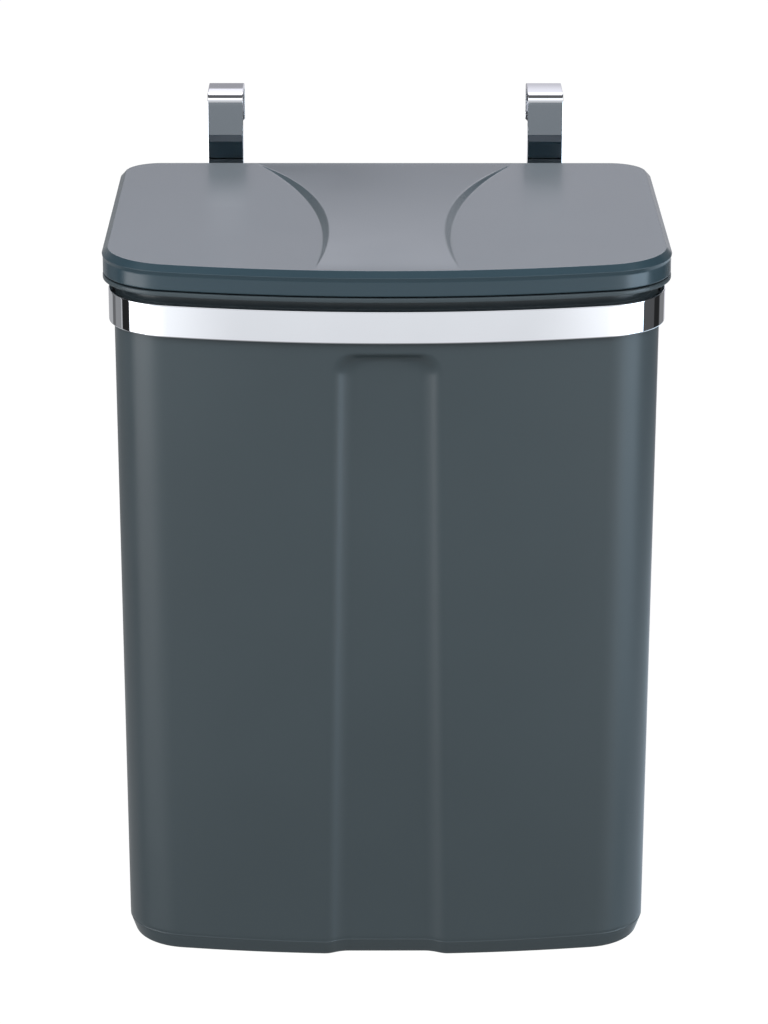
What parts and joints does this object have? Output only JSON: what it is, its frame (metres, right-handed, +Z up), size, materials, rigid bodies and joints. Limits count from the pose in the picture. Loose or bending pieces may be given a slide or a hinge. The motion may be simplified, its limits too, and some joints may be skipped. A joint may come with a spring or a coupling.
{
  "type": "cabinet door trash can",
  "caption": "Lidded plastic waste bin held in a chromed steel band that hangs on the top edge of a cabinet door by over-door hooks.",
  "frame": {"origin": "Midway between the hooks, under their top plates and half way through the door gap: the middle of the door's top edge.", "axes": "+Z up, +X to the right when the bin is seen from the front, -Y the bin's front, +Y towards the door and through it."},
  "size_m": [0.22, 0.2229, 0.31],
  "materials": {
    "lid_plastic": "satin moulded grey",
    "bin_plastic": "satin moulded dark grey",
    "chrome": "bright chromed steel strip",
    "steel": "plain steel",
    "soft_rubber": "soft dark rubber"
  },
  "bodies": {
    "carrier": {"carrier_band": "chrome", "rear_stay": "chrome", "stay_rivet_left": "steel", "stay_rivet_right": "steel", "hook_left": "chrome", "hook_right": "chrome", "hook_rivet_left_inner": "steel", "hook_rivet_left_outer": "steel", "hook_rivet_right_inner": "steel", "hook_rivet_right_outer": "steel", "door_pad_left": "soft_rubber", "door_pad_right": "soft_rubber"},
    "bin": {"bin_body": "bin_plastic", "hinge_pin_left": "steel", "hinge_pin_right": "steel", "lid_buffer_left": "soft_rubber", "lid_buffer_right": "soft_rubber"},
    "lid": {"lid": "lid_plastic"}
  },
  "joints": [
    {"name": "bin_lift", "type": "slide", "parent": "carrier", "child": "bin", "axis": [0, 0, 1], "range_m": [0, 0.33]},
    {"name": "lid_hinge", "type": "hinge", "parent": "bin", "child": "lid", "pos_m": [0, -0.0311, -0.0279], "axis": [-1, 0, 0], "range_deg": [0, 105]}
  ]
}
